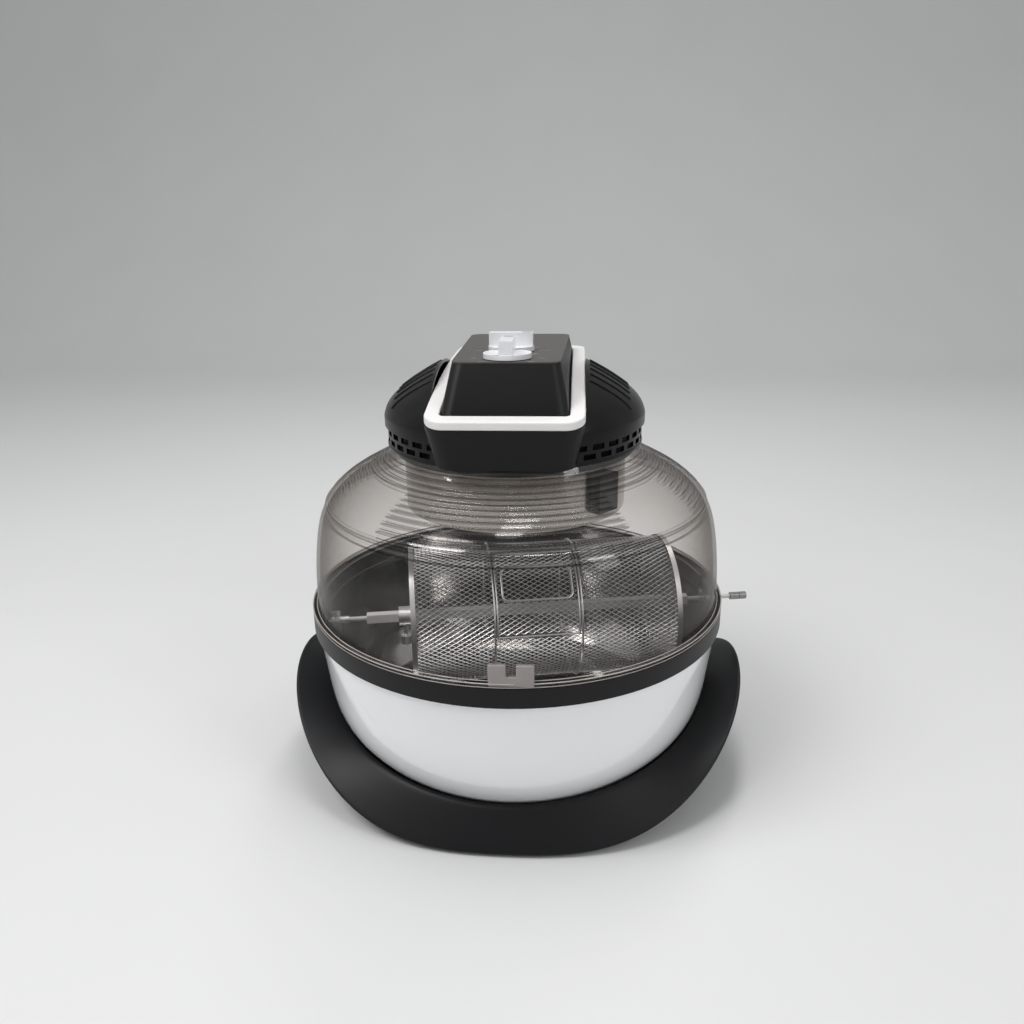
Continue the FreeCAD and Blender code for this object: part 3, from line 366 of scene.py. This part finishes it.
def softened(node, name, width, segments=3, angle=32):
    """A copy of a frame node with its sharp edges rounded."""
    piece = mesh_piece(name, [], [])
    piece.data = bpy.data.meshes.new_from_object(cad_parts[node])
    piece.data.name = name
    only(piece)
    bpy.ops.object.mode_set(mode="EDIT")
    bpy.ops.mesh.select_all(action="SELECT")
    bpy.ops.mesh.remove_doubles(threshold=0.00001)
    bpy.ops.mesh.dissolve_limited(angle_limit=math.radians(0.8))
    bpy.ops.object.mode_set(mode="OBJECT")
    modified(piece, "BEVEL", width=width, segments=segments, limit_method="ANGLE",
             angle_limit=math.radians(angle), use_clamp_overlap=True)
    smooth(piece, 50)
    modified(piece, "WEIGHTED_NORMAL", keep_sharp=True)
    return piece


def lathe(name, rings, segments=192):
    """A closed surface of revolution through (radius, height) points, as a closed outline."""
    points = []
    faces = []
    count = len(rings)
    for i in range(segments):
        angle = 2 * math.pi * i / segments
        points += [(r * math.cos(angle), r * math.sin(angle), z) for r, z in rings]
    for i in range(segments):
        for k in range(count):
            a = i * count + k
            b = i * count + (k + 1) % count
            c = ((i + 1) % segments) * count + (k + 1) % count
            d = ((i + 1) % segments) * count + k
            faces.append((a, d, c, b))
    return mesh_piece(name, points, faces)


def curve_points(corners, start, end, steps):
    """Points on a smooth cubic through corners, with the tangent directions given at both ends."""
    p = np.array(corners, float)
    chords = np.linalg.norm(np.diff(p, axis=0), axis=1)
    knots = np.concatenate([[0], np.cumsum(chords)])
    n = len(p)
    system = np.zeros((n, n))
    right = np.zeros((n, 2))
    system[0, 0] = system[-1, -1] = 1
    right[0] = np.array(start) / np.linalg.norm(start)
    right[-1] = np.array(end) / np.linalg.norm(end)
    for i in range(1, n - 1):
        before, after = chords[i - 1], chords[i]
        system[i, i - 1:i + 2] = (after, 2 * (before + after), before)
        right[i] = 3 * (after / before * (p[i] - p[i - 1]) + before / after * (p[i + 1] - p[i]))
    slopes = np.linalg.solve(system, right)
    out = []
    for t in np.linspace(0, knots[-1], steps):
        i = min(int(np.searchsorted(knots, t, side="right")) - 1, n - 2)
        h = chords[i]
        u = (t - knots[i]) / h
        basis = (2 * u**3 - 3 * u**2 + 1, (u**3 - 2 * u**2 + u) * h, -2 * u**3 + 3 * u**2, (u**3 - u**2) * h)
        out.append(basis[0] * p[i] + basis[1] * slopes[i] + basis[2] * p[i + 1] + basis[3] * slopes[i + 1])
    return np.array(out)


def outward(points):
    """Unit normals to the right of a run of (radius, height) points going up: away from the axis."""
    tangents = np.gradient(points, axis=0)
    tangents /= np.linalg.norm(tangents, axis=1)[:, None]
    return np.stack([tangents[:, 1], -tangents[:, 0]], axis=1)


# ---------------------------------------------------------------- stand

BOWL_CORNERS = [(112 * MM, 9 * MM), (157 * MM, 38 * MM), (173 * MM, 63 * MM), (181 * MM, 100 * MM), (187 * MM, 146 * MM)]


def stand():
    """The saddle-shaped stand: a ring that seats the bowl, a lip and a skirt that lifts into two ears."""
    side = curve_points(BOWL_CORNERS, (1, 0.12), (0.14, 1), 80)
    side = side + outward(side) * 1.6 * MM

    def beside(height):
        return float(np.interp(height, side[:, 1], side[:, 0]))

    sections = []
    count = 96
    wall = 3.5 * MM
    for i in range(count):
        angle = 2 * math.pi * i / count
        c, s = abs(math.cos(angle)), abs(math.sin(angle))
        reach = ((c / 0.2095) ** 2.35 + (s / 0.1805) ** 2.35) ** (-1 / 2.35)
        lip = (34 + 24 * c * c) * MM
        edge = 96 * MM * c ** 4
        seat = 9 * MM
        top = [(100 * MM, seat), (beside(seat), seat)]
        for share in (0.1, 0.28, 0.6, 0.97):
            height = seat + (lip - seat) * share
            top.append((beside(height), height))
        inner = top[-1][0]
        out = 8 * MM * (1 - 0.3 * c * c)
        up = 9 * MM * c * c
        ridge = (inner + out, lip + up)
        end = (reach, edge + wall * 0.8)
        front = 1 - c * c
        top.append((inner + out * 0.25, lip + 1.2 * MM * front + up * 0.2))
        top.append((inner + out * 0.75, lip + 1.4 * MM * front + up * 0.7))
        run = (end[0] - ridge[0], end[1] - ridge[1])
        for share in (0.12, 0.5, 0.93):
            top.append((ridge[0] + run[0] * share, ridge[1] - 1.5 * MM * front * (share < 0.2) + run[1] * share))
        top.append(end)
        normals = outward(np.array(top))
        under = np.array(top) + normals * wall
        under[:, 1] = np.maximum(under[:, 1], 0.5 * MM)
        ring_points = [tuple(p) for p in top] + [tuple(p) for p in under[::-1]]
        sections.append([(r * math.cos(angle), r * math.sin(angle), z) for r, z in ring_points])
    size = len(sections[0])
    points = [p for section in sections for p in section]
    faces = []
    for i in range(count):
        for k in range(size):
            a, b = i * size + k, i * size + (k + 1) % size
            c2, d = ((i + 1) % count) * size + (k + 1) % size, ((i + 1) % count) * size + k
            faces.append((a, d, c2, b))
    piece = mesh_piece("stand_saddle", points, faces)
    only(piece)
    bpy.ops.object.mode_set(mode="EDIT")
    bpy.ops.mesh.select_all(action="SELECT")
    bpy.ops.mesh.normals_make_consistent(inside=False)
    bpy.ops.object.mode_set(mode="OBJECT")
    modified(piece, "SUBSURF", levels=2, render_levels=2)
    smooth(piece, 60)
    finish_piece(piece, "base", BLACK, "black_plastic", "stand")


# ---------------------------------------------------------------- dome

DOME_CORNERS = [(185, 166), (181, 227), (172, 256), (155, 274), (133, 287), (112, 303)]
DOME_WALL = 3 * MM


def dome():
    """The clear lid: a lathed wall with concentric ribs, a flange and a neck."""
    side = curve_points(np.array(DOME_CORNERS, float), (0, 1), (-0.55, 1), 420)
    normals = outward(side)
    keep = np.concatenate([np.arange(0, 200, 6), np.arange(200, 420, 2)])
    outer, across = side[keep], normals[keep]
    inner = (outer - across * 3)[::-1]
    foot = [(190, 162.6), (190, 165.2), (189.4, 166), (186.4, 166.2)]
    neck = [(112, 307.6), (111.6, 308), (109.4, 308), (109, 307.6)]
    low = [(182, 162.4), (182.4, 162), (189.4, 162)]
    segments = 240
    points = []
    ribs = np.array(RIB_RADII)
    outline_count = None
    for i in range(segments):
        angle = 2 * math.pi * i / segments
        azimuth = math.degrees(math.atan2(math.cos(angle), -math.sin(angle)))
        wall = []
        for (r, z), (nr, nz) in zip(outer, across):
            lift = 0
            if z > 240:
                for k, rib in enumerate(ribs):
                    x = abs(r - rib) / (RIB_WIDTH / 2)
                    if x < 1:
                        height = RIB_HEIGHT * (1 - x * x)
                        if WINDOW_RIBS[0] <= k <= WINDOW_RIBS[1]:
                            for centre in WINDOW_AZIMUTHS:
                                gap = abs(azimuth - centre)
                                height *= min(max((gap - WINDOW_HALF) / 1.6, 0), 1)
                        lift = max(lift, height)
            wall.append((r + nr * lift, z + nz * lift))
        outline = foot + wall + neck + [tuple(p) for p in inner] + low
        outline_count = len(outline)
        points += [(r * MM * math.cos(angle), r * MM * math.sin(angle), z * MM) for r, z in outline]
    faces = []
    for i in range(segments):
        for k in range(outline_count):
            a = i * outline_count + k
            b = i * outline_count + (k + 1) % outline_count
            c = ((i + 1) % segments) * outline_count + (k + 1) % outline_count
            d = ((i + 1) % segments) * outline_count + k
            faces.append((a, d, c, b))
    piece = mesh_piece("dome_ribbed", points, faces)
    smooth(piece, 50)
    finish_piece(piece, "lid", SMOKY, "smoky_clear", "dome")


def dome_catch():
    """The upright tab on the flange at the front, with a notch in its top edge."""
    half, notch, low, high, floor, middle = 17.5, 3.7, 163, 181, 171, 9
    outline = [(-half, low), (half, low), (half, high), (notch, high), (notch, floor), (-notch, floor),
               (-notch, high), (-half, high)]
    points = [((x + middle) * MM, y * MM, z * MM) for y in (-189.4, -184.6) for x, z in outline]
    count = len(outline)
    faces = [tuple(range(count)), tuple(range(count, 2 * count))[::-1]]
    faces += [(k, k + count, (k + 1) % count + count, (k + 1) % count) for k in range(count)]
    tab = mesh_piece("dome_catch", points, faces)
    modified(tab, "BEVEL", width=1.3 * MM, segments=3, limit_method="ANGLE")
    smooth(tab, 50)
    finish_piece(tab, "lid", LUG, "smoky_clear")
    # thin light tubes along the flange edges: painted highlight lines on the clear flange
    for name, radius, height, thick in (("flange_top_painted_highlight", 189.4, 165.6, 0.45), ("flange_low_painted_highlight", 189.5, 162.7, 0.4),
                                        ("wall_root_painted_highlight", 186.0, 166.3, 0.4)):
        path = [(radius * MM * math.cos(a), radius * MM * math.sin(a), height * MM)
                for a in (2 * math.pi * i / 180 for i in range(180))]
        wire(name, path, thick * MM, "lid", FLANGE_PAINTED_HIGHLIGHT, "smoky_clear", closed=True, sides=6)


# ---------------------------------------------------------------- basket

def on_spit(along, radius, angle_degrees):
    """A point by its distance along the spit and its angle up from the front."""
    angle = math.radians(angle_degrees)
    across, up = -radius * math.cos(angle), radius * math.sin(angle)
    c, s = math.cos(BOWL_TURN), math.sin(BOWL_TURN)
    return Vector((along * c - across * s, along * s + across * c, SPIT_HEIGHT + up))


CELL_LENGTH = 7.6 * MM
CELLS_ROUND = 92


def expanded_mesh(name, body, slot_node, inside):
    """Expanded metal on the drum: slanted strands between the knuckles of a diamond lattice, with painted shade on the
    faces turned toward the drum axis.
    """
    points = []
    faces = []
    shaded = []
    step = 360 / CELLS_ROUND
    columns = int(round((DRUM_RIGHT - DRUM_LEFT) / CELL_LENGTH))
    pitch = (DRUM_RIGHT - DRUM_LEFT) / columns
    radius = DRUM_RADIUS - 0.6 * MM
    half_width = 0.36 * MM
    thick = 0.42 * MM

    def strand(u0, v0, u1, v1):
        if not (inside(u0, v0) and inside(u1, v1)):
            return
        start = on_spit(u0, radius, v0)
        end = on_spit(u1, radius, v1)
        run = (end - start).normalized()
        middle = on_spit((u0 + u1) / 2, radius, (v0 + v1) / 2)
        axis = on_spit((u0 + u1) / 2, 0, 0)
        out = (middle - axis).normalized()
        across = run.cross(out).normalized()
        base = len(points)
        for point in (start - run * 0.2 * MM, end + run * 0.2 * MM):
            points.append(point + across * half_width)
            points.append(point - across * half_width)
            points.append(point + out * thick)
            points.append(point - out * thick)
        for k in range(4):
            order = (0, 2, 1, 3)
            a, b = order[k], order[(k + 1) % 4]
            faces.append((base + a, base + b, base + 4 + b, base + 4 + a))
            # the faces turned toward the drum axis, and the strand ends, are marked for the painted shade
            shaded.append(k > 1)
        faces.append((base + 0, base + 3, base + 1, base + 2))
        faces.append((base + 4, base + 6, base + 5, base + 7))
        shaded.extend((True, True))

    for i in range(columns + 1):
        for k in range(CELLS_ROUND):
            u, v = DRUM_LEFT + i * pitch, k * step
            for du in (-0.5, 0.5):
                for dv in (-0.5, 0.5):
                    u1, v1 = u + du * pitch, v + dv * step
                    if DRUM_LEFT <= u1 <= DRUM_RIGHT:
                        strand(u, v, u1, v1)
    piece = mesh_piece(name, points, faces)
    only(piece)
    bpy.ops.object.mode_set(mode="EDIT")
    bpy.ops.mesh.select_all(action="SELECT")
    bpy.ops.mesh.normals_make_consistent(inside=False)
    bpy.ops.object.mode_set(mode="OBJECT")
    smooth(piece, 35)
    finish_piece(piece, body, WIRE_STEEL, "chrome_wire", slot_node)
    # painted shade: the marked inner faces take the darker copy of the wire finish
    piece.data.materials.append(WIRE_PAINTED_SHADE)
    piece.data.polygons.foreach_set("material_index", np.array(shaded, dtype=np.int32))


def in_doorway(u, v):
    return HOOP_LEFT < u < HOOP_RIGHT and 0 < (v % 360) < SHELL_HIGH


def in_door(u, v):
    return HOOP_LEFT + 2 * MM < u < HOOP_RIGHT - 2 * MM and DOOR_LOW <= (v % 360) <= DOOR_HIGH


def wire(name, path, radius, body, material=WIRE_STEEL, slot="chrome_wire", closed=False, nodes=(), sides=8):
    """A round wire along points, as a mesh tube."""
    path = [Vector(p) for p in path]
    count = len(path)
    points = []
    faces = []
    side = None
    for i, point in enumerate(path):
        after = path[(i + 1) % count] if closed or i < count - 1 else point
        before = path[i - 1] if closed or i else point
        run = (after - before).normalized()
        if side is None:
            side = run.orthogonal().normalized()
        side = (side - run * side.dot(run)).normalized()
        up = run.cross(side)
        for k in range(sides):
            angle = 2 * math.pi * k / sides
            points.append(point + side * math.cos(angle) * radius + up * math.sin(angle) * radius)
    last = count if closed else count - 1
    for i in range(last):
        for k in range(sides):
            a, b = i * sides + k, i * sides + (k + 1) % sides
            j = (i + 1) % count
            faces.append((a, b, j * sides + (k + 1) % sides, j * sides + k))
    if not closed:
        faces.append(tuple(range(sides))[::-1])
        faces.append(tuple((count - 1) * sides + k for k in range(sides)))
    piece = mesh_piece(name, points, faces)
    smooth(piece, 60)
    return finish_piece(piece, body, material, slot, *nodes)


def basket():
    expanded_mesh("basket_mesh", "spit", "basket_shell", lambda u, v: not in_doorway(u, v))
    expanded_mesh("door_mesh", "door", "basket_door", in_door)
    arc = [DOOR_LOW + (DOOR_HIGH - DOOR_LOW) * i / 24 for i in range(25)]
    left, right = HOOP_LEFT + 2.6 * MM, HOOP_RIGHT - 2.6 * MM
    for u, name in ((left, "door_wire_left"), (right, "door_wire_right")):
        wire(name, [on_spit(u, DRUM_RADIUS - 0.4 * MM, v) for v in arc], 0.9 * MM, "door")
    for v, name in ((DOOR_LOW, "door_wire_low"), (DOOR_HIGH, "door_wire_high")):
        wire(name, [on_spit(left + (right - left) * i / 4, DRUM_RADIUS - 0.4 * MM, v) for i in range(5)], 0.9 * MM, "door")


# ---------------------------------------------------------------- head

def cap_ribs():
    """Thin raised ribs that run sideways over both halves of the cap."""
    for side, name in ((-1, "left"), (1, "right")):
        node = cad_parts[f"head_cap_{name}"]
        tree = BVHTree.FromPolygons([v.co for v in node.data.vertices], [p.vertices for p in node.data.polygons])
        for i, y in enumerate((-48, -36, -24, -12, 0, 12)):
            path = []
            for k in range(13):
                x = side * (66 + 34 * k / 12) * MM
                hit = tree.ray_cast(Vector((x, y * MM, 0.5)), Vector((0, 0, -1)))
                if hit[0] is not None and hit[0].z > 340 * MM:
                    path.append(hit[0] + Vector((0, 0, 0.1 * MM)))
            if len(path) > 3:
                wire(f"cap_rib_{name}_{i}", path, 0.9 * MM, "head", BLACK_CAP, "black_plastic")


def panel_marks():
    """Scale ticks and plain numbers printed beside both knobs, and a small arrow by the rear one."""
    scales = {"timer": (0, 10, 20, 30, 40, 50, 60), "temperature": (60, 90, 120, 150, 180, 210, 250)}
    top = PANEL_TOP + 0.02 * MM
    for name, numbers in scales.items():
        centre = Vector((0, KNOB_PLACES[name], top))
        bars = []
        for i, number in enumerate(numbers):
            angle = math.radians(225 - 270 * i / (len(numbers) - 1))
            outward_way = Vector((math.cos(angle), math.sin(angle), 0))
            if abs(outward_way.y) > 0.75:
                continue
            sideways = Vector((-outward_way.y, outward_way.x, 0))
            near, far = centre + outward_way * (KNOB_RADIUS + 1.5 * MM), centre + outward_way * (KNOB_RADIUS + 4 * MM)
            bars.append([near + sideways * 0.25 * MM, far + sideways * 0.25 * MM,
                         far - sideways * 0.25 * MM, near - sideways * 0.25 * MM])
            label(f"{name}_mark_{number}", str(number), centre + outward_way * (KNOB_RADIUS + 8.5 * MM))
        if name == "temperature":
            tip = centre + Vector((27 * MM, 0, 0))
            for side in (-1, 1):
                tail = tip + Vector((-4 * MM, side * 5 * MM, 0))
                bars.append([tip, tip + Vector((-1.2 * MM, 0, 0)), tail + Vector((-1.2 * MM, 0, 0)), tail])
        points = [p + Vector((0, 0, z * MM)) for bar in bars for z in (0, 0.1) for p in bar]
        faces = []
        for k in range(len(bars)):
            b = 8 * k
            faces += [(b + 3, b + 2, b + 1, b), (b + 4, b + 5, b + 6, b + 7)]
            faces += [(b + m, b + (m + 1) % 4, b + 4 + (m + 1) % 4, b + 4 + m) for m in range(4)]
        ticks = mesh_piece(f"{name}_ticks", points, faces)
        finish_piece(ticks, "head", PRINT, "pointer_grey")


def label(name, text, place):
    """A printed number, as a thin mesh lying on the panel."""
    curve = bpy.data.curves.new(name, "FONT")
    curve.body = text
    curve.size = 5 * MM
    curve.extrude = 0.06 * MM
    curve.align_x = "CENTER"
    curve.align_y = "CENTER"
    holder = bpy.data.objects.new(name, curve)
    bpy.context.scene.collection.objects.link(holder)
    bpy.context.view_layer.update()
    mesh = bpy.data.meshes.new_from_object(holder.evaluated_get(bpy.context.evaluated_depsgraph_get()))
    bpy.data.objects.remove(holder)
    mesh.transform(Matrix.Translation(place))
    piece = bpy.data.objects.new(name, mesh)
    bpy.context.scene.collection.objects.link(piece)
    finish_piece(piece, "head", PRINT, "pointer_grey")


def head():
    rounded = {
        "head_pod": ("pod_shell", 1.6, BLACK_BOX, "black_plastic", "head"),
        "control_frame": ("frame_band", 3.0, WHITE_FRAME, "white_plastic", "head"),
        "control_box": ("box_shell", 1.2, BLACK_BOX, "black_plastic", "head"),
        "control_panel": ("panel_plate", 0.6, PANEL, "panel_plastic", "head"),
        "timer_knob": ("timer_knob_body", 1.5, KNOB_WHITE, "knob_white", "timer"),
        "temperature_knob": ("temperature_knob_body", 1.5, KNOB_WHITE, "knob_white", "temperature"),
        "head_cap_left": ("cap_left", 0.8, BLACK_CAP, "black_plastic", "head"),
        "head_cap_right": ("cap_right", 0.8, BLACK_CAP, "black_plastic", "head"),
        "rim_collar": ("rim_band", 1.2, RIM, "black_plastic", "bowl"),
        "motor_bracket": ("drive_bracket", 1.0, BLACK, "black_plastic", "bowl"),
    }
    for node, (name, width, material, slot, body) in rounded.items():
        piece = softened(node, name, width * MM)
        finish_piece(piece, body, material, slot, node)


NODE_FINISHES = {
    BLACK_CAP: ["vent_grille_left", "vent_grille_right", "bayonet_ring", "head_plate"],
    WHITE: ["outer_bowl"],
    PAN_STEEL: ["inner_pan"],
    BAR_STEEL: ["spit_rod"],
    BRIGHT_STEEL: ["spit_bush", "end_disc_left", "end_disc_right", "door_loop", "basket_hoops",
                   "door_hinge_rod", "thumb_screws", "spit_bearing_left"],
    WIRE_STEEL: ["heater_guard"],
    DARK_STEEL: ["spit_coupling", "heater_clips", "head_screws", "motor_posts", "fan_motor", "fan_shaft"],
    SHROUD_STEEL: ["heater_shroud", "heat_reflector"],
    FAN_METAL: ["oven_fan", "cooling_fan"],
    POINTER: ["timer_knob_pointer", "temperature_knob_pointer"],
    RUBBER: ["foot_ring", "cord_gland"],
    NYLON: ["spit_bearing_right", "terminal_block", "thermal_cutout", "timer_switch", "thermostat_switch",
            "sensor_housing", "timer_knob_shaft", "temperature_knob_shaft"],
    LAMP: ["heater_lamp"],
}


def node_finishes():
    for material, nodes in NODE_FINISHES.items():
        for node in nodes:
            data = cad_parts[node].data
            data.materials.clear()
            data.materials.append(material)


# ---------------------------------------------------------------- stage

def stage():
    sweep = [(-3, 0), (2.2, 0)] + [
        (2.2 + 1.2 * math.sin(math.radians(a)), 1.2 - 1.2 * math.cos(math.radians(a))) for a in range(6, 91, 6)]
    sweep.append((3.4, 5))
    points = [(x, y, z - 0.0005) for y, z in sweep for x in (-6, 6)]
    faces = [(2 * i, 2 * i + 1, 2 * i + 3, 2 * i + 2) for i in range(len(sweep) - 1)]
    floor = mesh_piece("floor", points, faces)
    smooth(floor, 60)
    finish = Finish("floor_pale")
    grain = finish.noise(3, 3)
    floor.data.materials.append(finish.surface(
        Base_Color=finish.blend(grain, (0.70, 0.70, 0.695), (0.74, 0.74, 0.735)), Roughness=0.6))
    world = bpy.data.worlds.new("studio")
    world.use_nodes = True
    nodes, links = world.node_tree.nodes, world.node_tree.links
    place = nodes.new("ShaderNodeTexCoord")
    parts = nodes.new("ShaderNodeSeparateXYZ")
    ramp = nodes.new("ShaderNodeValToRGB")
    links.new(place.outputs["Generated"], parts.inputs[0])
    links.new(parts.outputs["Y"], ramp.inputs["Fac"])
    ramp.color_ramp.elements[0].position = 0.0
    ramp.color_ramp.elements[0].color = (0.80, 0.81, 0.82, 1)
    ramp.color_ramp.elements[1].position = 1.0
    ramp.color_ramp.elements[1].color = (0.80, 0.81, 0.82, 1)
    shift = nodes.new("ShaderNodeMapRange")
    links.new(parts.outputs["Y"], shift.inputs["Value"])
    shift.inputs["From Min"].default_value = -0.97
    shift.inputs["From Max"].default_value = -0.82
    shift.inputs["To Min"].default_value = 0.0
    shift.inputs["To Max"].default_value = 1.0
    links.new(shift.outputs["Result"], ramp.inputs["Fac"])
    ramp.color_ramp.elements[0].color = (0.10, 0.10, 0.105, 1)
    links.new(ramp.outputs["Color"], nodes["Background"].inputs["Color"])
    nodes["Background"].inputs["Strength"].default_value = 0.62
    bpy.context.scene.world = world
    lamp("key", (-1.0, -0.7, 1.9), (0.9, 0.9), 20)
    lamp("fill", (1.5, -1.1, 1.3), (0.5, 1.4), 7)
    lamp("ceiling", (0.1, 0.4, 2.3), (0.35, 2.0), 17)
    bpy.context.scene.view_settings.view_transform = "Standard"


camera()
stage()
stand()
dome()
dome_catch()
basket()
head()
cap_ribs()
panel_marks()
node_finishes()
